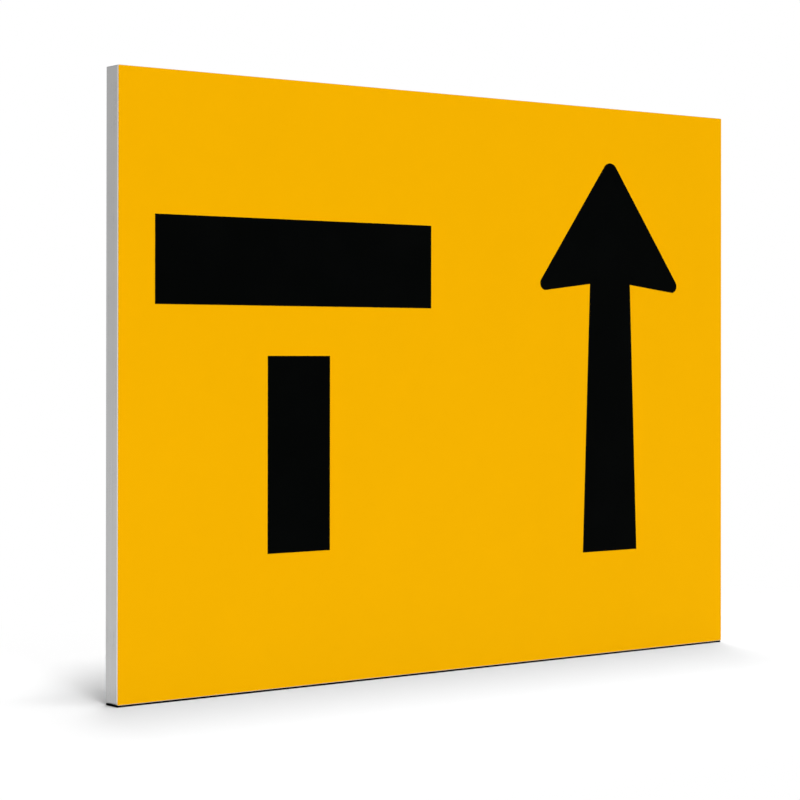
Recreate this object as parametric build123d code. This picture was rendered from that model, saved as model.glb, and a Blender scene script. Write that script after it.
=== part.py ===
from build123d import *

import os

# Lane status sign for road works: a flat aluminium sheet with a yellow reflective
# face and black film symbols, bonded to a mitred frame of edge channels, with two
# slotted rails across the back. Millimetres, +Z up, the face looks along -Y.
# Pieces are modelled about the middle of the panel, with y = 0 at the front of the
# symbols, and are moved to the resting place at the end.

# Panel and face layers
panel_width = 1200.0
panel_height = 900.0
panel_corner_radius = 2.0
sheet_thickness = 1.6
film_thickness = 0.4
film_margin = 0.4
symbol_thickness = 0.2

# Closed lane symbol, a bar over a stem on one upright axis
closed_axis_from_left = 310.6
bar_length = 500.5
bar_height = 128.4
bar_above_middle = 178.6
stem_width = 113.0
stem_height = 291.4
stem_below_middle = 105.1

# Open lane arrow, sizes taken to its sharp corners
arrow_axis_from_right = 261.2
arrow_above_middle = 44.5
arrow_length = 652.4
arrow_foot_width = 120.2
arrow_neck_width = 89.7
arrow_head_length = 226.4
arrow_head_span = 332.0
arrow_barb_sweep = 14.5
arrow_tip_radius = 16.5
arrow_barb_radius = 11.0

# Edge channel, a C section open towards the middle of the panel
channel_depth = 31.5
channel_flange = 22.0
channel_wall = 2.0
channel_back_radius = 1.5
channel_root_radius = 1.0
mitre_setback = 0.15

# Bonding tape in the groove of each channel's front flange
tape_width = 12.0
tape_thickness = 0.8
tape_side_clearance = 0.3
tape_end_gap = 4.0

# Corner plates inside the mitres
plate_leg = 50.0
plate_thickness = 2.5
plate_clearance = 0.2
plate_corner_radius = 3.0
plate_rivet_from_end = 14.0

# Blind rivets
rivet_diameter = 4.0
rivet_hole_clearance = 0.1
rivet_head_diameter = 8.0
rivet_head_height = 1.2
rivet_tail_length = 3.2

# Slotted rails
rail_from_edge = 225.0
rail_height = 40.0
rail_wall = 2.0
rail_slot_width = 12.0
rail_lip_return = 4.0
rail_corner_radius = 1.5
rail_depth_clearance = 0.3
rail_end_clearance = 2.0
rail_tape_width = 25.0

# Rubber strip under the bottom channel
strip_thickness = 3.0
strip_setback = 0.8
strip_chamfer = 0.5

# Drain slots through the bottom channel's rear flange
drain_slot_length = 22.0
drain_slot_width = 6.0
drain_slot_from_end = 150.0

# Places along the depth, from the front of the symbols to the rivet heads
film_front = symbol_thickness
sheet_front = film_front + film_thickness
sheet_back = sheet_front + sheet_thickness
channel_back = sheet_back + channel_depth
flange_inside = channel_back - channel_wall
overall_depth = channel_back + rivet_head_height

# Half sizes and centre lines that several pieces share
half_width = panel_width / 2
half_height = panel_height / 2
flange_middle = (channel_wall + channel_flange) / 2
hole_radius = (rivet_diameter + rivet_hole_clearance) / 2
rail_depth = channel_depth - 2 * channel_wall - rail_depth_clearance
rail_level = half_height - rail_from_edge
rail_lip_middle = (rail_slot_width + rail_height) / 4
plate_inset = channel_wall + channel_root_radius + plate_clearance
plate_rivet = plate_inset + plate_leg - plate_rivet_from_end

# The sides of the frame in the order of their quarter turns about the depth axis,
# the distance from the middle of the panel to each outer face, and the lengths
side_order = ["top", "right", "bottom", "left"]
side_reach = {"top": half_height, "right": half_width, "bottom": half_height, "left": half_width}
side_length = {"top": panel_width, "right": panel_height, "bottom": panel_width, "left": panel_height}

# The corners as directions along X and Z from the middle, in the same order
corner_signs = {
    "top_left": (-1, 1),
    "top_right": (1, 1),
    "bottom_right": (1, -1),
    "bottom_left": (-1, -1),
}
rail_levels = {"upper": rail_level, "lower": -rail_level}


def upright(y):
    """Plane square to the depth at y, whose extrusions grow towards the front."""
    return Plane.XZ.offset(-y)


def layer(outline, front, thickness):
    """A sheet, film or plate of an outline drawn in X and Z, from front backwards."""
    return extrude(upright(front + thickness) * outline, amount=thickness)


def panel_block(front, depth):
    """The panel's rounded outline as a block of the given depth."""
    return layer(RectangleRounded(panel_width, panel_height, panel_corner_radius), front, depth)


def yellow_film():
    """The reflective face, trimmed just inside the sheet's edges."""
    width = panel_width - 2 * film_margin
    height = panel_height - 2 * film_margin
    corner_radius = panel_corner_radius - film_margin
    return layer(RectangleRounded(width, height, corner_radius), film_front, film_thickness)


def rivet_places_at_corner(signs):
    """The rivets of one corner, one in each leg of its plate, as X and Z pairs."""
    side, level = signs
    return [
        (side * (half_width - plate_rivet), level * (half_height - flange_middle)),
        (side * (half_width - flange_middle), level * (half_height - plate_rivet)),
    ]


def rivet_places_on_rail(level):
    """The rivets of one rail, two at each end, above and below the slot."""
    across = half_width - flange_middle
    return [
        (side * across, level + above * rail_lip_middle)
        for side in (-1, 1)
        for above in (-1, 1)
    ]


def rivet_holes(places):
    """Drills for rivets at the given places, which reach in from the back to mid depth."""
    circles = [Pos(x, z) * Circle(hole_radius) for x, z in places]
    reach = channel_depth / 2
    return layer(Sketch() + circles, channel_back - reach, reach)


corner_rivet_places = {name: rivet_places_at_corner(signs) for name, signs in corner_signs.items()}
rail_rivet_places = {name: rivet_places_on_rail(level) for name, level in rail_levels.items()}
all_rivet_places = [
    place
    for group in (corner_rivet_places, rail_rivet_places)
    for places in group.values()
    for place in places
]


def closed_lane_bar():
    place = Pos(closed_axis_from_left - half_width, bar_above_middle)
    outline = place * Rectangle(bar_length, bar_height)
    return layer(outline, 0, symbol_thickness)


def closed_lane_stem():
    place = Pos(closed_axis_from_left - half_width, -stem_below_middle)
    outline = place * Rectangle(stem_width, stem_height)
    return layer(outline, 0, symbol_thickness)


def open_lane_arrow():
    """Tapered shaft and swept-back head, rounded at the tip and at both barbs."""
    foot = -arrow_length / 2
    tip = arrow_length / 2
    barb = tip - arrow_head_length
    neck = barb + arrow_barb_sweep
    corners = [
        (-arrow_foot_width / 2, foot),
        (arrow_foot_width / 2, foot),
        (arrow_neck_width / 2, neck),
        (arrow_head_span / 2, barb),
        (0, tip),
        (-arrow_head_span / 2, barb),
        (-arrow_neck_width / 2, neck),
    ]
    radii = [0, 0, 0, arrow_barb_radius, arrow_tip_radius, arrow_barb_radius, 0]
    outline = make_face(FilletPolyline(*corners, radius=radii, close=True))
    placed = Pos(half_width - arrow_axis_from_right, arrow_above_middle) * outline
    return layer(placed, 0, symbol_thickness)


def channel_profile():
    """C section drawn with the outer face at x = 0 and the front flange at y = 0."""
    groove_half = tape_width / 2 + tape_side_clearance
    groove_low = flange_middle - groove_half
    groove_high = flange_middle + groove_half
    inside_back = channel_depth - channel_wall
    corners_and_radii = [
        ((0, 0), 0),
        ((groove_low, 0), 0),
        ((groove_low, tape_thickness), 0),
        ((groove_high, tape_thickness), 0),
        ((groove_high, 0), 0),
        ((channel_flange, 0), 0),
        ((channel_flange, channel_wall), 0),
        ((channel_wall, channel_wall), channel_root_radius),
        ((channel_wall, inside_back), channel_root_radius),
        ((channel_flange, inside_back), 0),
        ((channel_flange, channel_depth), 0),
        ((0, channel_depth), channel_back_radius),
    ]
    corners = [corner for corner, radius in corners_and_radii]
    radii = [radius for corner, radius in corners_and_radii]
    return make_face(FilletPolyline(*corners, radius=radii, close=True))


def quarter_turn(side):
    """The turn about the depth axis that takes the top of the frame to the given side."""
    return Rot(0, 90 * side_order.index(side), 0)


def edge_channel(side):
    """One side of the frame: extruded, mitred at both ends, corner-rounded and drilled."""
    reach = side_reach[side]
    length = side_length[side]
    section = Plane(origin=(-length / 2, sheet_back, reach), x_dir=(0, 0, -1), z_dir=(1, 0, 0))
    channel = extrude(section * channel_profile(), amount=length)
    for end in (-1, 1):
        corner = (end * (length / 2 - mitre_setback), 0, reach)
        channel = split(channel, Plane(origin=corner, z_dir=(-end, 0, 1)), keep=Keep.TOP)
    channel = quarter_turn(side) * channel
    channel = channel & panel_block(sheet_back, channel_depth)
    channel -= rivet_holes(all_rivet_places)
    if side == "bottom":
        channel -= drain_slots()
    return channel


def drain_slots():
    """Slots just above the bottom channel's web, so that it holds no water."""
    level = -half_height + channel_wall + channel_root_radius + drain_slot_width / 2
    across = half_width - drain_slot_from_end
    slot = SlotOverall(drain_slot_length, drain_slot_width)
    slots = [Pos(end * across, level) * slot for end in (-1, 1)]
    return layer(Sketch() + slots, flange_inside - channel_wall, 3 * channel_wall)


def bonding_tape(side):
    """A strip that fills the depth of one channel's groove, short of both mitres."""
    clear_length = side_length[side] - 2 * (channel_flange + tape_end_gap)
    outline = Pos(0, side_reach[side] - flange_middle) * Rectangle(clear_length, tape_width)
    return quarter_turn(side) * layer(outline, sheet_back, tape_thickness)


def corner_plate(name):
    """Angled plate that lies on the rear flanges and ties two channels at a mitre."""
    side, level = corner_signs[name]
    leg_width = channel_flange - plate_inset
    across = Pos(plate_leg / 2, leg_width / 2) * RectangleRounded(plate_leg, leg_width, plate_corner_radius)
    along = Pos(leg_width / 2, plate_leg / 2) * RectangleRounded(leg_width, plate_leg, plate_corner_radius)
    in_corner = Rectangle(leg_width, leg_width, align=Align.MIN)
    angle = across + along + in_corner
    quarter_turns = list(corner_signs).index(name) + 1
    placed = Pos(side * (half_width - plate_inset), level * (half_height - plate_inset))
    outline = placed * Rot(0, 0, -90 * quarter_turns) * angle
    plate = layer(outline, flange_inside - plate_thickness, plate_thickness)
    return plate - rivet_holes(corner_rivet_places[name])


def rail_profile():
    """Slotted rail drawn with its closed front at y = 0 and the slot at the back."""
    half = rail_height / 2
    slot = rail_slot_width / 2
    inner = half - rail_wall
    lip = rail_depth - rail_wall
    return_end = lip - rail_lip_return
    right_half = [
        ((half, 0), rail_corner_radius),
        ((half, rail_depth), rail_corner_radius),
        ((slot, rail_depth), 0),
        ((slot, return_end), 0),
        ((slot + rail_wall, return_end), 0),
        ((slot + rail_wall, lip), 0),
        ((inner, lip), 0),
        ((inner, rail_wall), 0),
    ]
    left_half = [((-x, y), radius) for (x, y), radius in reversed(right_half)]
    corners = [corner for corner, radius in right_half + left_half]
    radii = [radius for corner, radius in right_half + left_half]
    return make_face(FilletPolyline(*corners, radius=radii, close=True))


def rail(name):
    """One rail, with its ends inside the side channels and drilled for their rivets."""
    length = panel_width - 2 * (channel_wall + rail_end_clearance)
    front = flange_inside - rail_depth
    section = Plane(origin=(-length / 2, front, rail_levels[name]), x_dir=(0, 0, -1), z_dir=(1, 0, 0))
    bar = extrude(section * rail_profile(), amount=length)
    return bar - rivet_holes(rail_rivet_places[name])


def rail_tape(name):
    """Foam tape that fills the space between the sheet and one rail."""
    length = panel_width - 2 * (channel_flange + tape_end_gap)
    outline = Pos(0, rail_levels[name]) * Rectangle(length, rail_tape_width)
    return layer(outline, sheet_back, channel_wall + rail_depth_clearance)


def blind_rivet(grip):
    """Set rivet along +Y: domed head past 0, and a shank through the grip with its tail."""
    head = rivet_head_diameter / 2
    shank = rivet_diameter / 2
    tail = -grip - rivet_tail_length
    dome = TangentArc((0, rivet_head_height), (head, 0), tangent=(1, 0))
    body = Polyline((head, 0), (shank, 0), (shank, tail), (0, tail), (0, rivet_head_height))
    return revolve(make_face(dome + body), Axis.Y)


def rivet_group(places, grip):
    """The same rivet at each place, with its head on the rear flange."""
    rivet = blind_rivet(grip)
    return Compound(children=[Pos(x, channel_back, z) * rivet for x, z in places])


def base_strip():
    """Rubber strip under the bottom channel and the sheet, chamfered round its foot."""
    length = panel_width - 2 * strip_setback
    width = channel_back - sheet_front - 2 * strip_setback
    middle = (sheet_front + channel_back) / 2
    block = Pos(0, middle, -half_height - strip_thickness / 2) * Box(length, width, strip_thickness)
    lower_edges = block.faces().sort_by(Axis.Z)[0].edges()
    return chamfer(lower_edges, strip_chamfer)


def build_nodes():
    """Every piece by its name, about the middle of the panel."""
    nodes = {
        "closed_lane_bar": closed_lane_bar(),
        "closed_lane_stem": closed_lane_stem(),
        "open_lane_arrow": open_lane_arrow(),
        "yellow_film": yellow_film(),
        "face_sheet": panel_block(sheet_front, sheet_thickness),
        "base_strip": base_strip(),
    }
    for side in side_order:
        nodes[f"{side}_edge_channel"] = edge_channel(side)
        nodes[f"{side}_bonding_tape"] = bonding_tape(side)
    for name in corner_signs:
        nodes[f"{name}_corner_plate"] = corner_plate(name)
    for name in rail_levels:
        nodes[f"{name}_rail"] = rail(name)
        nodes[f"{name}_rail_tape"] = rail_tape(name)
    corner_places = [place for places in corner_rivet_places.values() for place in places]
    nodes["corner_rivets"] = rivet_group(corner_places, channel_wall + plate_thickness)
    rail_places = [place for places in rail_rivet_places.values() for place in places]
    nodes["rail_rivets"] = rivet_group(rail_places, channel_wall + rail_wall)
    return nodes


def main():
    os.makedirs("parts", exist_ok=True)
    resting_place = Pos(0, -overall_depth / 2, strip_thickness + half_height)
    for name, shape in build_nodes().items():
        export_step(resting_place * shape, f"parts/{name}.step")


main()
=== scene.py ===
import logging
import math
from dataclasses import dataclass
from enum import Enum
from typing import Any

import bmesh
import bpy
from mathutils import Euler, Matrix, Quaternion, Vector


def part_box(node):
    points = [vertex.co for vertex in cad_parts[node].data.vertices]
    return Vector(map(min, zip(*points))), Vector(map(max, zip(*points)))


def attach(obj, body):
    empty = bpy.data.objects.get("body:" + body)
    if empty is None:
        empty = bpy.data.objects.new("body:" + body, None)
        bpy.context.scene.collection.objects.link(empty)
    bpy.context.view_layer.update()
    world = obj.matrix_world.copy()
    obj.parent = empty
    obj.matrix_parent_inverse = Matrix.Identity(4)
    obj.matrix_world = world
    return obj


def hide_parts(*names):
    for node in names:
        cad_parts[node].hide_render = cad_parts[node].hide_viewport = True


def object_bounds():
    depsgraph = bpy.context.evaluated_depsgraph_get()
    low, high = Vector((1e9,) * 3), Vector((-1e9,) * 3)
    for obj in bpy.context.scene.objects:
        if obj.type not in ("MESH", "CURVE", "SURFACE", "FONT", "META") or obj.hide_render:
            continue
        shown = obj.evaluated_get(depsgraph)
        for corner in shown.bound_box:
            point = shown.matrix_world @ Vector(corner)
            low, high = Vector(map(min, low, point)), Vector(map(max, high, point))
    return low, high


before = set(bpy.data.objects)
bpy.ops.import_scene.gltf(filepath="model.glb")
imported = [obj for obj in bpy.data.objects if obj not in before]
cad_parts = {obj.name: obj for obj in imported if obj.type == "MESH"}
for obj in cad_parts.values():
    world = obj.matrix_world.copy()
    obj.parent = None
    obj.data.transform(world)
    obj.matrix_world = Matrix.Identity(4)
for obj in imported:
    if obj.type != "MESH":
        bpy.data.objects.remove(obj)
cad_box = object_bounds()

# Looks of a lane status sign for road works: a yellow reflective face with black film
# symbols on a mitred aluminium frame. Metres, +Z up, the face looks along -Y.

log = logging.getLogger("lane_sign")

Colour = tuple[float, float, float]
Point = tuple[float, float, float]
Span = tuple[float, float]
Profile = list[tuple[float, float]]

BODY = "root"
MERGE_DISTANCE = 1e-6
CAD_MERGE_DISTANCE = 1e-5
SHARP_DEGREES = 38.0
MIDDLE = 0.5
WHITE = (1.0, 1.0, 1.0, 1.0)

# The Mix node's colour sockets have these numbers, because its names repeat.
MIX_FIRST, MIX_SECOND, MIX_RESULT = 6, 7, 2


class Run(Enum):
    """The direction in which a metal was rolled or drawn, which its grain follows."""

    ACROSS = "x"
    UPRIGHT = "z"


@dataclass(frozen=True)
class Pattern:
    """A noise: its waves to a metre, its octaves and the share that each octave keeps."""

    scale: float = 1.0
    octaves: float = 2.0
    kept: float = 0.5


class Signal:
    """A shader socket whose arithmetic adds Math nodes to its tree."""

    def __init__(self, shade: "Shade", socket: bpy.types.NodeSocket) -> None:
        """Keep a socket and the tree that it stands in."""
        self.shade = shade
        self.socket = socket

    def _math(self, operation: str, first: "Signal | float", second: "Signal | float") -> "Signal":
        """Add one Math node on two operands and return its result."""
        return self.shade.node("ShaderNodeMath", {"operation": operation}, {0: first, 1: second})

    def __add__(self, other: "Signal | float") -> "Signal":
        """Return self + other."""
        return self._math("ADD", self, other)

    def __radd__(self, other: float) -> "Signal":
        """Return other + self."""
        return self._math("ADD", other, self)

    def __sub__(self, other: "Signal | float") -> "Signal":
        """Return self - other."""
        return self._math("SUBTRACT", self, other)

    def __rsub__(self, other: float) -> "Signal":
        """Return other - self."""
        return self._math("SUBTRACT", other, self)

    def __mul__(self, other: "Signal | float") -> "Signal":
        """Return self * other."""
        return self._math("MULTIPLY", self, other)

    def __rmul__(self, other: float) -> "Signal":
        """Return other * self."""
        return self._math("MULTIPLY", other, self)

    def highest(self, other: "Signal | float") -> "Signal":
        """Return the larger of self and other."""
        return self._math("MAXIMUM", self, other)

    def size(self) -> "Signal":
        """Return self without its sign."""
        return self._math("ABSOLUTE", self, 0.0)

    def root(self) -> "Signal":
        """Return the square root of self."""
        return self._math("SQRT", self, 0.0)

    def triangle(self, period: float) -> "Signal":
        """Return a triangle wave that is 0 at each multiple of the period."""
        return self._math("PINGPONG", self, period / 2)


Surface = tuple[Signal, Signal, Signal]


class Shade:
    """A shader tree that is built one node at a time."""

    def __init__(self, tree: bpy.types.ShaderNodeTree) -> None:
        """Start from an empty tree."""
        tree.nodes.clear()
        self.tree = tree

    def node(
        self,
        kind: str,
        settings: dict[str, Any] | None = None,
        sockets: dict[str | int, Any] | None = None,
        output: str | int = 0,
    ) -> Signal:
        """Add one node.

        Args:
            kind: the node's type, such as ShaderNodeTexNoise.
            settings: the node's own properties, set first.
            sockets: values or signals for the node's inputs, by name or number.
            output: the output to hand on.

        Returns:
            The chosen output, or the first input of a node that has no output.
        """
        made = self.tree.nodes.new(kind)
        for key, value in (settings or {}).items():
            setattr(made, key, value)
        for key, value in (sockets or {}).items():
            if isinstance(value, Signal):
                self.tree.links.new(value.socket, made.inputs[key])
            else:
                made.inputs[key].default_value = value
        return Signal(self, made.outputs[output] if made.outputs else made.inputs[0])

    def beside(self, signal: Signal, *names: str) -> tuple[Signal, ...]:
        """Return other outputs of the node that a signal comes from."""
        return tuple(Signal(self, signal.socket.node.outputs[name]) for name in names)

    def place(self) -> Signal:
        """Return the object coordinates, in metres."""
        return self.node("ShaderNodeTexCoord", output="Object")

    def axes(self) -> tuple[Signal, Signal, Signal]:
        """Return the object coordinates one by one."""
        x = self.node("ShaderNodeSeparateXYZ", sockets={"Vector": self.place()}, output="X")
        return x, *self.beside(x, "Y", "Z")

    def stretched(self, scale: Point, turn: Point = (0.0, 0.0, 0.0)) -> Signal:
        """Return object coordinates that are turned and then scaled along each axis."""
        sockets = {"Vector": self.place(), "Rotation": turn, "Scale": scale}
        return self.node("ShaderNodeMapping", sockets=sockets)

    def noise(self, vector: Signal, pattern: Pattern) -> Signal:
        """Return a smooth noise about 0, within half a unit of it."""
        sizes = {"Scale": pattern.scale, "Detail": pattern.octaves, "Roughness": pattern.kept}
        return self.node("ShaderNodeTexNoise", sockets={"Vector": vector, **sizes}) - MIDDLE

    def step(self, value: Signal, low: float, high: float) -> Signal:
        """Return a smooth step that is 0 at low and 1 at high."""
        sockets = {"Value": value, "From Min": low, "From Max": high}
        return self.node("ShaderNodeMapRange", {"interpolation_type": "SMOOTHSTEP"}, sockets)

    def blend(self, share: Signal | float, first: Colour | Signal, second: Colour | Signal) -> Signal:
        """Return a colour between two colours.

        Args:
            share: how much of the second colour there is.
            first: a colour, or a signal that carries one.
            second: a colour, or a signal that carries one.

        Returns:
            The mixed colour.
        """
        ends = [end if isinstance(end, Signal) else (*end, 1.0) for end in (first, second)]
        sockets = {0: share, MIX_FIRST: ends[0], MIX_SECOND: ends[1]}
        return self.node("ShaderNodeMix", {"data_type": "RGBA"}, sockets, MIX_RESULT)

    def bump(self, height: Signal, strength: float, depth: float) -> Signal:
        """Return normals that follow a height, with its depth in metres."""
        sockets = {"Height": height, "Strength": strength, "Distance": depth}
        return self.node("ShaderNodeBump", sockets=sockets)


@dataclass(frozen=True, kw_only=True)
class Finish:
    """A finish with a name, the light that its surface mirrors and the strength of its relief."""

    name: str
    roughness: float
    specular: float = 0.5
    metallic: float = 0.0
    relief: float
    depth: float = 0.0001

    def material(self) -> bpy.types.Material:
        """Build the material.

        Returns:
            The material, ready for a piece.
        """
        made = bpy.data.materials.new(self.name)
        made.use_nodes = True
        shade = Shade(made.node_tree)
        colour, roughness, height = self.paint(shade)
        sockets = {
            "Base Color": colour,
            "Roughness": roughness,
            "Metallic": self.metallic,
            "Specular IOR Level": self.specular,
            "Normal": shade.bump(height, self.relief, self.depth),
        }
        surface = shade.node("ShaderNodeBsdfPrincipled", sockets=sockets)
        shade.node("ShaderNodeOutputMaterial", sockets={"Surface": surface})
        return made

    def paint(self, shade: Shade) -> Surface:
        """Return the colour, roughness and height of the surface."""
        raise NotImplementedError


@dataclass(frozen=True, kw_only=True)
class ReflectiveFilm(Finish):
    """Retroreflective sheeting: a nearly even colour over fine sealed cells and glass beads."""

    relief: float = 0.12
    pale: Colour = (0.985, 0.478, 0.0002)
    deep: Colour = (0.869, 0.4195, 0.0001)
    cell: float = 0.0042
    seam: float = 0.09
    seam_tone: float = 0.3
    seam_roughness: float = 0.08
    mottle: Pattern = Pattern(7.0, 4.0)
    mottle_tone: float = 0.26
    mottle_roughness: float = 0.1
    beads: Pattern = Pattern(2600.0, 1.0)
    bead_tone: float = 0.1
    bead_height: float = 0.5
    # Painted light: the film is painted paler towards the bottom and the right and deeper towards the top,
    # to even out the uneven light on the face.
    painted_light_across: float = 0.03
    painted_light_up: float = -0.3
    painted_light_middle: float = 0.5

    def _seams(self, shade: Shade, across: Signal) -> Signal:
        """Return a signal that is 1 along the seams that lie across a direction."""
        return 1.0 - shade.step((across * (1 / self.cell)).triangle(1.0), 0.0, self.seam)

    def paint(self, shade: Shade) -> Surface:
        """Lay crossed seams, mottle and beads over a colour with painted light: paler low and to the
        right, deeper high.

        Args:
            shade: the material's tree.

        Returns:
            The colour, roughness and height of the surface.
        """
        x, _, z = shade.axes()
        seams = self._seams(shade, x + z).highest(self._seams(shade, x - z))
        mottle = shade.noise(shade.place(), self.mottle)
        beads = shade.noise(shade.place(), self.beads)
        tone = MIDDLE + mottle * self.mottle_tone + beads * self.bead_tone + seams * self.seam_tone
        # Painted light: the tone changes with height and across the face to make up for the lamps' and the
        # floor's uneven light.
        tone += x * self.painted_light_across + (z - self.painted_light_middle) * self.painted_light_up
        roughness = self.roughness + mottle * self.mottle_roughness + seams * self.seam_roughness
        return shade.blend(tone, self.deep, self.pale), roughness, beads * self.bead_height - seams


@dataclass(frozen=True, kw_only=True)
class CutFilm(Finish):
    """Opaque cut film: nearly even, with the faint orange peel of a rolled skin."""

    relief: float = 0.08
    colour: Colour = (0.0008, 0.0011, 0.0010)
    worn: Colour = (0.0013, 0.0016, 0.0015)
    peel: Pattern = Pattern(900.0)
    haze: Pattern = Pattern(11.0, 4.0)
    haze_edges: Span = (-0.15, 0.3)
    haze_roughness: float = 0.16

    def paint(self, shade: Shade) -> Surface:
        """Lay haze and peel over the colour.

        Args:
            shade: the material's tree.

        Returns:
            The colour, roughness and height of the surface.
        """
        haze = shade.noise(shade.place(), self.haze)
        colour = shade.blend(shade.step(haze, *self.haze_edges), self.colour, self.worn)
        roughness = self.roughness + haze * self.haze_roughness
        return colour, roughness, shade.noise(shade.place(), self.peel)


@dataclass(frozen=True, kw_only=True)
class DrawnMetal(Finish):
    """Rolled or drawn aluminium with grain and bands along its run, haze and fine scuffs."""

    metallic: float = 1.0
    relief: float = 0.25
    pale: Colour
    deep: Colour
    run: Run = Run.ACROSS
    grain: Pattern = Pattern(octaves=3.0, kept=0.6)
    grain_length: float = 4.0
    grain_count: float = 900.0
    grain_tone: float = 0.7
    grain_roughness: float = 0.16
    grain_height: float = 0.8
    bands: Pattern = Pattern()
    band_length: float = 0.8
    band_count: float = 70.0
    band_tone: float = 0.6
    band_height: float = 0.4
    haze: Pattern = Pattern(14.0, 5.0, 0.6)
    haze_tone: float = 0.5
    haze_roughness: float = 0.14
    scuffs: Pattern = Pattern(octaves=1.0)
    scuff_scale: Point = (9.0, 260.0, 260.0)
    scuff_turn: Point = (0.0, 0.7, 0.0)
    scuff_edges: Span = (0.20, 0.24)
    scuff_patches: Span = (0.0, 0.12)
    scuff_tone: float = 0.35
    scuff_roughness: float = 0.15

    def _along(self, length: float, count: float) -> Point:
        """Return pattern scales that are long on the run and fine across it."""
        return (length, count, count) if self.run is Run.ACROSS else (count, count, length)

    def paint(self, shade: Shade) -> Surface:
        """Lay grain, bands, haze and scuffs over the metal.

        Args:
            shade: the material's tree.

        Returns:
            The colour, roughness and height of the surface.
        """
        grain = shade.noise(shade.stretched(self._along(self.grain_length, self.grain_count)), self.grain)
        bands = shade.noise(shade.stretched(self._along(self.band_length, self.band_count)), self.bands)
        haze = shade.noise(shade.place(), self.haze)
        scuffs = shade.noise(shade.stretched(self.scuff_scale, self.scuff_turn), self.scuffs)
        marked = shade.step(scuffs, *self.scuff_edges) * shade.step(haze, *self.scuff_patches)
        scuff = marked * self.scuff_tone
        tone = MIDDLE + grain * self.grain_tone + bands * self.band_tone + haze * self.haze_tone + scuff
        roughness = self.roughness + grain * self.grain_roughness + haze * self.haze_roughness
        height = grain * self.grain_height + bands * self.band_height - scuff
        return shade.blend(tone, self.deep, self.pale), roughness - scuff * self.scuff_roughness, height


@dataclass(frozen=True, kw_only=True)
class CutSheet(DrawnMetal):
    """Rolled sheet whose sheared edges are brighter than its faces."""

    low: Vector
    high: Vector
    rim: float = 0.0004
    bright: Colour = (0.93, 0.93, 0.92)

    def _past(self, place: Signal, low: float, high: float) -> Signal:
        """Return how far a place lies outside a stretch, which is below 0 inside it."""
        return (place - (low + high) / 2).size() - (high - low) / 2

    def paint(self, shade: Shade) -> Surface:
        """Brighten the metal along its sheared edges.

        Args:
            shade: the material's tree.

        Returns:
            The colour, roughness and height of the surface.
        """
        colour, roughness, height = super().paint(shade)
        x, _, z = shade.axes()
        past = self._past(x, self.low.x, self.high.x).highest(self._past(z, self.low.z, self.high.z))
        sheared = shade.step(past, -self.rim, -self.rim / 2)
        return shade.blend(sheared, colour, self.bright), roughness, height


@dataclass(frozen=True, kw_only=True)
class RivetMetal(Finish):
    """Small formed metal with a tumbled surface, a little different from one to the next."""

    metallic: float = 1.0
    relief: float = 0.2
    pale: Colour = (0.78, 0.78, 0.77)
    deep: Colour = (0.60, 0.60, 0.60)
    tumble: Pattern = Pattern(1400.0, 3.0, 0.6)
    tumble_tone: float = 0.8
    tumble_roughness: float = 0.25
    batch: Pattern = Pattern(60.0, 1.0)
    batch_tone: float = 0.8

    def paint(self, shade: Shade) -> Surface:
        """Lay tumbling marks and the batch's tone over the metal.

        Args:
            shade: the material's tree.

        Returns:
            The colour, roughness and height of the surface.
        """
        tumble = shade.noise(shade.place(), self.tumble)
        batch = shade.noise(shade.place(), self.batch)
        tone = MIDDLE + tumble * self.tumble_tone + batch * self.batch_tone
        roughness = self.roughness + tumble * self.tumble_roughness
        return shade.blend(tone, self.deep, self.pale), roughness, tumble


@dataclass(frozen=True, kw_only=True)
class Foam(Finish):
    """Closed-cell tape, with cut cells along its edges."""

    relief: float = 0.5
    depth: float = 0.0002
    pale: Colour = (0.16, 0.16, 0.16)
    deep: Colour = (0.07, 0.07, 0.07)
    cell_scale: float = 2400.0
    cell_tone: float = 0.9
    cell_roughness: float = 0.08
    lumps: Pattern = Pattern(240.0, 3.0)
    lump_tone: float = 0.4

    def paint(self, shade: Shade) -> Surface:
        """Lay cells and lumps over the foam.

        Args:
            shade: the material's tree.

        Returns:
            The colour, roughness and height of the surface.
        """
        sockets = {"Vector": shade.place(), "Scale": self.cell_scale}
        cells = shade.node("ShaderNodeTexVoronoi", sockets=sockets, output="Distance")
        lumps = shade.noise(shade.place(), self.lumps)
        tone = 1.0 - cells * self.cell_tone + lumps * self.lump_tone
        return shade.blend(tone, self.pale, self.deep), self.roughness + cells * self.cell_roughness, cells


@dataclass(frozen=True, kw_only=True)
class Rubber(Finish):
    """Extruded rubber with a dull, near-black skin that is partly painted shadow, and a little pale dust.
    """

    relief: float = 0.3
    depth: float = 0.0002
    # Painted shadow: the skin is nearly black, darker than real rubber, so that the strip also stands for
    # the contact shadow under the foot.
    skin: Colour = (0.0012, 0.0012, 0.0012)
    dust: Colour = (0.02, 0.0192, 0.018)
    grit: Pattern = Pattern(1100.0, 3.0, 0.6)
    grit_edges: Span = (0.08, 0.25)
    grit_share: float = 0.25
    drift: Pattern = Pattern(22.0, 4.0)
    drift_edges: Span = (-0.05, 0.3)
    drift_share: float = 0.4
    drift_roughness: float = 0.12

    def paint(self, shade: Shade) -> Surface:
        """Lay drifts of dust and grit over the skin, whose near black is partly painted shadow.

        Args:
            shade: the material's tree.

        Returns:
            The colour, roughness and height of the surface.
        """
        grit = shade.noise(shade.place(), self.grit)
        drift = shade.noise(shade.place(), self.drift)
        dust = shade.step(drift, *self.drift_edges) * self.drift_share
        dust += shade.step(grit, *self.grit_edges) * self.grit_share
        return shade.blend(dust, self.skin, self.dust), self.roughness + drift * self.drift_roughness, grit


def dress(material: bpy.types.Material, *names: str) -> None:
    """Give CAD nodes a finish.

    Args:
        material: the finish.
        names: the nodes that get it.
    """
    for name in names:
        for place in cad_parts[name].material_slots:
            place.material = material
        log.info("dressed %s in %s", name, material.name)


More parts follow.
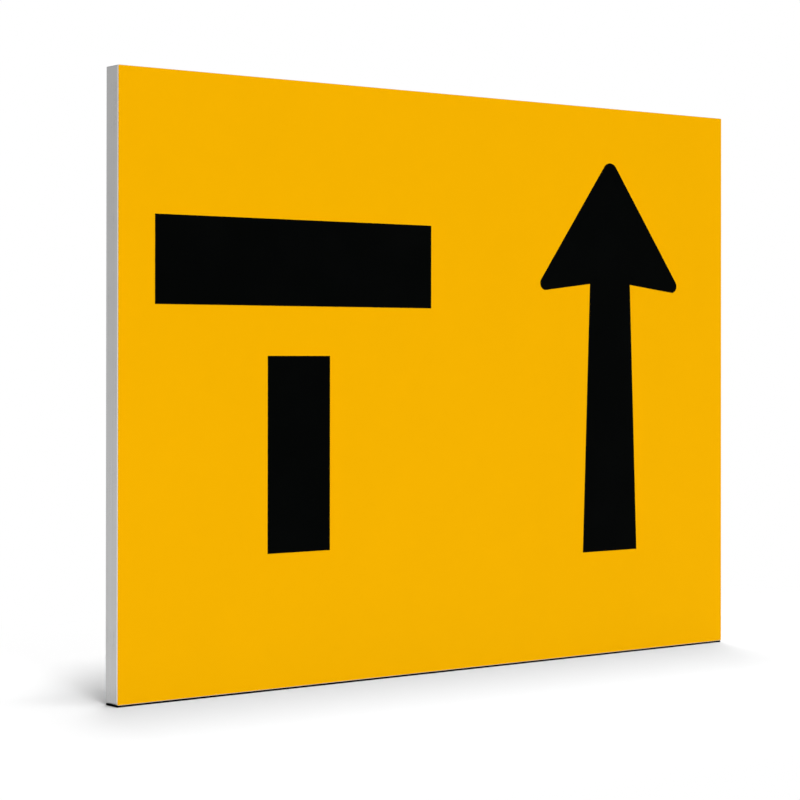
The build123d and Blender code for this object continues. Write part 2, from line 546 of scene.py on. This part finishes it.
def settle(name: str, shape: bmesh.types.BMesh, material: bpy.types.Material) -> bpy.types.Object:
    """Turn a finished bmesh into a piece that rides on the sign.

    Args:
        name: the piece's name.
        shape: its shape, in the row frame; it is freed.
        material: its finish.

    Returns:
        The new piece.
    """
    bmesh.ops.remove_doubles(shape, verts=shape.verts, dist=MERGE_DISTANCE)
    bmesh.ops.recalc_face_normals(shape, faces=shape.faces)
    mesh = bpy.data.meshes.new(name)
    shape.to_mesh(mesh)
    shape.free()
    for face in mesh.polygons:
        face.use_smooth = True
    mesh.set_sharp_from_angle(angle=math.radians(SHARP_DEGREES))
    mesh.materials.append(material)
    piece = bpy.data.objects.new(name, mesh)
    bpy.context.scene.collection.objects.link(piece)
    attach(piece, BODY)
    log.info("built %s with %d faces", name, len(mesh.polygons))
    return piece


@dataclass
class Face:
    """The sheet with its yellow film and its black film symbols."""

    film_node: str = "yellow_film"
    symbol_nodes: tuple[str, ...] = ("closed_lane_bar", "closed_lane_stem", "open_lane_arrow")
    sheet_node: str = "face_sheet"
    film: ReflectiveFilm = ReflectiveFilm(name="reflective_yellow_film", roughness=0.42, specular=0.012)
    symbols: CutFilm = CutFilm(name="black_cut_film", roughness=0.5, specular=0.008)
    sheet_roughness: float = 0.36
    sheet_pale: Colour = (0.62, 0.62, 0.62)
    sheet_deep: Colour = (0.50, 0.50, 0.50)

    def sheet(self) -> CutSheet:
        """Return the sheet's finish, whose bright edges lie where the frame has the sheet's."""
        low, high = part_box(self.sheet_node)
        return CutSheet(
            name="rolled_sheet",
            roughness=self.sheet_roughness,
            pale=self.sheet_pale,
            deep=self.sheet_deep,
            low=low,
            high=high,
        )

    def dress(self) -> None:
        """Give the film, the symbols and the sheet their finishes, and keep their colour off the floor."""
        dress(self.film.material(), self.film_node)
        dress(self.symbols.material(), *self.symbol_nodes)
        dress(self.sheet().material(), self.sheet_node)
        for name in (self.film_node, *self.symbol_nodes, self.sheet_node):
            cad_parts[name].visible_diffuse = False


@dataclass
class EdgeFrame:
    """The four mitred edge channels, with their bonding tapes and corner plates."""

    sides: tuple[str, ...] = ("top", "right", "bottom", "left")
    corners: tuple[str, ...] = ("top_left", "top_right", "bottom_right", "bottom_left")
    channel_roughness: float = 0.3
    channel_pale: Colour = (0.56, 0.56, 0.56)
    channel_deep: Colour = (0.40, 0.40, 0.40)
    channel_grain_length: float = 2.0
    channel_grain_count: float = 500.0
    channel_scuffs: float = 0.2
    plates: DrawnMetal = DrawnMetal(
        name="pressed_plate", roughness=0.4, pale=(0.66, 0.66, 0.66), deep=(0.54, 0.54, 0.54)
    )
    tape: Foam = Foam(name="bonding_foam", roughness=0.85, specular=0.2)

    def channel(self, run: Run) -> DrawnMetal:
        """Return the channels' finish, drawn along a run."""
        return DrawnMetal(
            name=f"drawn_channel_{run.value}",
            roughness=self.channel_roughness,
            pale=self.channel_pale,
            deep=self.channel_deep,
            run=run,
            grain_length=self.channel_grain_length,
            grain_count=self.channel_grain_count,
            scuff_tone=self.channel_scuffs,
        )

    def dress(self) -> None:
        """Give the channels, plates and tapes their finishes."""
        dress(self.channel(Run.ACROSS).material(), "top_edge_channel", "bottom_edge_channel")
        dress(self.channel(Run.UPRIGHT).material(), "right_edge_channel", "left_edge_channel")
        dress(self.plates.material(), *(f"{corner}_corner_plate" for corner in self.corners))
        dress(self.tape.material(), *(f"{side}_bonding_tape" for side in self.sides))


@dataclass
class FixingRails:
    """The two slotted rails across the back, with their tapes."""

    levels: tuple[str, ...] = ("upper", "lower")
    rail: DrawnMetal = DrawnMetal(
        name="drawn_rail",
        roughness=0.34,
        pale=(0.72, 0.72, 0.72),
        deep=(0.51, 0.51, 0.51),
        grain_length=1.5,
        grain_count=420.0,
    )
    tape: Foam = Foam(name="rail_foam", roughness=0.85, specular=0.2)

    def dress(self) -> None:
        """Give the rails and their tapes their finishes."""
        dress(self.rail.material(), *(f"{level}_rail" for level in self.levels))
        dress(self.tape.material(), *(f"{level}_rail_tape" for level in self.levels))


@dataclass
class BlindRivets:
    """A group of set blind rivets, each a domed body with its broken mandrel inside."""

    node: str
    slot: str = "rivet_aluminium"
    head_radius: float = 0.004
    head_height: float = 0.0012
    rim_height: float = 0.0003
    dome_shares: tuple[float, ...] = (0.0, 0.2, 0.4, 0.6, 0.8, 0.93, 1.0)
    dome_power: float = 2.4
    bore_radius: float = 0.00115
    bore_depth: float = 0.0009
    shank_radius: float = 0.002
    bulb_radius: float = 0.0028
    bulb_length: float = 0.0026
    bulb_shares: tuple[float, ...] = (0.0, 0.15, 0.35, 0.6, 0.85, 1.0)
    bulb_power: float = 0.7
    end_radius: float = 0.0014
    mandrel_radius: float = 0.00105
    mandrel_sunk: float = 0.0003
    mandrel_break: tuple[Span, ...] = ((0.35, 0.00004), (0.6, 0.00016), (1.0, 0.0003))
    steps: int = 32
    body: RivetMetal = RivetMetal(name="rivet_body", roughness=0.34)
    mandrel: RivetMetal = RivetMetal(
        name="mandrel_steel", roughness=0.42, pale=(0.42, 0.41, 0.40), deep=(0.26, 0.25, 0.25)
    )

    def islands(self) -> list[tuple[Vector, Vector]]:
        """Find the rivets in the CAD node.

        Returns:
            The lowest and highest corner of each rivet.
        """
        copy = bmesh.new()
        copy.from_mesh(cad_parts[self.node].data)
        bmesh.ops.remove_doubles(copy, verts=copy.verts, dist=CAD_MERGE_DISTANCE)
        copy.verts.index_update()
        left = set(copy.verts)
        found = []
        while left:
            island, reached = set(), [min(left, key=lambda vert: vert.index)]
            while reached:
                vert = reached.pop()
                if vert not in island:
                    island.add(vert)
                    reached.extend(edge.other_vert(vert) for edge in vert.link_edges)
            left -= island
            spans = [[vert.co[axis] for vert in island] for axis in range(3)]
            found.append((Vector(map(min, spans)), Vector(map(max, spans))))
        copy.free()
        return found

    def turned(self, profile: Profile) -> bmesh.types.BMesh:
        """Spin a profile about the Y axis.

        Args:
            profile: radius and depth of each point, from axis to axis.

        Returns:
            The closed shape.
        """
        shape = bmesh.new()
        verts = [shape.verts.new((radius, depth, 0.0)) for radius, depth in profile]
        edges = [shape.edges.new(pair) for pair in zip(verts, verts[1:])]
        bmesh.ops.spin(
            shape,
            geom=verts + edges,
            cent=(0.0, 0.0, 0.0),
            axis=(0.0, 1.0, 0.0),
            angle=math.tau,
            steps=self.steps,
            use_merge=True,
        )
        bmesh.ops.remove_doubles(shape, verts=shape.verts, dist=MERGE_DISTANCE)
        return shape

    def body_profile(self, tail: float) -> Profile:
        """Draw one body about its seat, from the bore's floor over the dome to the swollen tail.

        Args:
            tail: the depth at which the tail ends.

        Returns:
            Radius and depth of each point.
        """
        crown = self.head_height - self.rim_height
        reach = self.head_radius - self.bore_radius
        dome = []
        for share in self.dome_shares:
            drop = crown * (1 - share**self.dome_power)
            dome.append((self.bore_radius + reach * share, self.rim_height + drop))
        bulb = []
        for share in self.bulb_shares:
            swell = math.sin(math.pi * share) ** self.bulb_power
            radius = self.shank_radius + (self.bulb_radius - self.shank_radius) * swell
            bulb.append((radius, tail + self.bulb_length * (1 - share)))
        floor = self.head_height - self.bore_depth
        head = [(0.0, floor), (self.bore_radius, floor), *dome, (self.head_radius, 0.0)]
        return [*head, (self.shank_radius, 0.0), *bulb, (self.end_radius, tail), (0.0, tail)]

    def mandrel_profile(self) -> Profile:
        """Draw a mandrel's broken end, sunk in its bore.

        Returns:
            Radius and depth of each point.
        """
        top = self.head_height - self.mandrel_sunk
        floor = self.head_height - self.bore_depth
        broken = [(self.mandrel_radius * share, top - drop) for share, drop in self.mandrel_break]
        return [(0.0, top), *broken, (self.mandrel_radius, floor), (0.0, floor)]

    def add(self, group: bmesh.types.BMesh, profile: Profile, seat: Vector) -> None:
        """Add one turned shape to a group.

        Args:
            group: the group's bmesh.
            profile: the shape's profile.
            seat: the point of the rivet's axis where its head sits.
        """
        one = self.turned(profile)
        bmesh.ops.translate(one, verts=one.verts, vec=seat)
        mesh = bpy.data.meshes.new("rivet_part")
        one.to_mesh(mesh)
        one.free()
        group.from_mesh(mesh)
        bpy.data.meshes.remove(mesh)

    def build(self) -> None:
        """Build the bodies and mandrels, and let the bodies stand for the CAD node."""
        bodies, mandrels = bmesh.new(), bmesh.new()
        for low, high in self.islands():
            middle = (low + high) / 2
            seat = Vector((middle.x, high.y - self.head_height, middle.z))
            self.add(bodies, self.body_profile(low.y - seat.y), seat)
            self.add(mandrels, self.mandrel_profile(), seat)
        piece = settle(f"{self.node}_bodies", bodies, self.body.material())
        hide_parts(self.node)
        settle(f"{self.node}_mandrels", mandrels, self.mandrel.material())


@dataclass
class BaseStrip:
    """The rubber strip under the bottom channel, so dark that it also stands as painted shadow along the
    sign's foot.
    """

    rubber: Rubber = Rubber(name="strip_rubber_and_painted_shadow", roughness=0.8, specular=0.03)

    def dress(self) -> None:
        """Give the strip its finish."""
        dress(self.rubber.material(), "base_strip")


@dataclass(frozen=True)
class Softbox:
    """A soft rectangular lamp that looks at a point, twisted about its own axis in degrees."""

    name: str
    place: Point
    aim: Point
    size: tuple[float, float]
    power: float
    twist: float = 0.0

    def hang(self) -> None:
        """Add the lamp to the scene, out of sight of what mirrors."""
        data = bpy.data.lights.new(self.name, "AREA")
        data.shape = "RECTANGLE"
        data.size, data.size_y = self.size
        data.energy = self.power
        lamp = bpy.data.objects.new(self.name, data)
        lamp.location = self.place
        look = (Vector(self.aim) - Vector(self.place)).to_track_quat("-Z", "Y")
        twist = Quaternion((0.0, 0.0, 1.0), -math.radians(self.twist))
        lamp.rotation_euler = (look @ twist).to_euler()
        lamp.visible_glossy = False
        bpy.context.scene.collection.objects.link(lamp)


@dataclass
class Studio:
    """A white floor, soft lamps, pale surroundings and the camera."""

    camera_place: Point = (-2.2330, -2.78145, 0.4992)
    camera_turn: float = 37.653
    camera_pitch: float = 0.243
    camera_roll: float = 0.062
    lens: float = 102.2
    sensor: float = 36.0
    shift_y: float = -0.07178
    floor_span: float = 60.0
    floor_colour: Colour = (0.84, 0.84, 0.84)
    floor_bounce: Colour = (0.35, 0.35, 0.35)
    shadow_fade: Span = (0.35, 0.9)
    ambient: float = 0.012
    wall: float = 0.76
    ceiling: float = 0.5
    ceiling_rise: Span = (0.17, 0.85)
    skylight: float = 1.3
    skylight_rise: Span = (0.86, 1.0)
    lamps: tuple[Softbox, ...] = (
        Softbox("before", (-1.68, -7.17, 24.0), (-1.68, -7.17, 0.0), (2.43, 11.91), 4039.0, 43.1),
        Softbox("behind", (3.16, 2.02, 24.0), (3.16, 2.02, 0.0), (3.88, 11.34), 3691.0, 6.3),
        Softbox("front", (-13.6, -54.4, 4.6), (0.0, 0.0, 0.4), (8.0, 8.0), 19100.0),
    )

    @staticmethod
    def _rays(shade: Shade) -> tuple[Signal, Signal]:
        """Tell the rays that look at the studio apart.

        Args:
            shade: the tree that asks.

        Returns:
            A signal that is 1 for the camera's rays, and one for rays that a surface mirrors or passes.
        """
        seen = shade.node("ShaderNodeLightPath", output="Is Camera Ray")
        mirrored, passed = shade.beside(seen, "Is Glossy Ray", "Is Transmission Ray")
        return seen, mirrored.highest(passed)

    def floor_paint(self) -> bpy.types.Material:
        """Paint the floor white to the eye, with the sign's shadow near the sign alone.

        Returns:
            The floor's material.
        """
        paint = bpy.data.materials.new("studio_floor")
        paint.use_nodes = True
        shade = Shade(paint.node_tree)
        camera, mirrored = self._rays(shade)
        seen = camera.highest(mirrored)
        colour = shade.blend(seen, self.floor_bounce, self.floor_colour)
        matt = shade.node("ShaderNodeBsdfDiffuse", sockets={"Color": colour})
        glow = shade.node("ShaderNodeEmission", sockets={"Color": WHITE, "Strength": 1.0})
        x, y, _ = shade.axes()
        beside = (x.size() - cad_box[1].x).highest(0.0)
        away = (beside * beside + y * y).root()
        sockets = {0: seen * shade.step(away, *self.shadow_fade), 1: matt, 2: glow}
        surface = shade.node("ShaderNodeMixShader", sockets=sockets)
        shade.node("ShaderNodeOutputMaterial", sockets={"Surface": surface})
        return paint

    def lay_floor(self) -> None:
        """Add the floor."""
        shape = bmesh.new()
        bmesh.ops.create_grid(shape, x_segments=1, y_segments=1, size=self.floor_span / 2)
        mesh = bpy.data.meshes.new("studio_floor")
        shape.to_mesh(mesh)
        shape.free()
        mesh.materials.append(self.floor_paint())
        floor = bpy.data.objects.new("studio_floor", mesh)
        bpy.context.scene.collection.objects.link(floor)

    def surround(self) -> None:
        """Make the surroundings white to the eye, pale to metal and dim as a light."""
        world = bpy.data.worlds.new("studio")
        world.use_nodes = True
        shade = Shade(world.node_tree)
        gaze = shade.node("ShaderNodeTexCoord", output="Generated")
        height = shade.node("ShaderNodeSeparateXYZ", sockets={"Vector": gaze}, output="Z")
        camera, mirrored = self._rays(shade)
        room = self.wall + shade.step(height, *self.ceiling_rise) * (self.ceiling - self.wall)
        room += shade.step(height, *self.skylight_rise) * (self.skylight - self.ceiling)
        strength = self.ambient + camera * (1.0 - self.ambient) + mirrored * (room - self.ambient)
        sky = shade.node("ShaderNodeBackground", sockets={"Color": WHITE, "Strength": strength})
        shade.node("ShaderNodeOutputWorld", sockets={"Surface": sky})
        bpy.context.scene.world = world

    def stand_camera(self) -> None:
        """Add the camera at the photograph's viewing angle."""
        data = bpy.data.cameras.new("camera")
        data.sensor_width = self.sensor
        data.lens = self.lens
        data.shift_y = self.shift_y
        camera = bpy.data.objects.new("camera", data)
        camera.location = self.camera_place
        level = Euler((math.radians(90.0 + self.camera_pitch), 0.0, -math.radians(self.camera_turn)))
        tilt = Matrix.Rotation(math.radians(self.camera_roll), 3, "Z")
        camera.rotation_euler = (level.to_matrix() @ tilt).to_euler()
        bpy.context.scene.collection.objects.link(camera)
        bpy.context.scene.camera = camera

    def build(self) -> None:
        """Set up the floor, the surroundings, the lamps and the camera."""
        self.lay_floor()
        self.surround()
        for lamp in self.lamps:
            lamp.hang()
        self.stand_camera()
        bpy.context.scene.view_settings.view_transform = "Standard"
        log.info("set up the studio")


def main() -> None:
    """Build and dress the sign in its studio."""
    logging.basicConfig(level=logging.INFO, format="%(message)s")
    Studio().build()
    Face().dress()
    EdgeFrame().dress()
    FixingRails().dress()
    BlindRivets("corner_rivets").build()
    BlindRivets("rail_rivets").build()
    BaseStrip().dress()


if __name__ == "__main__":
    main()
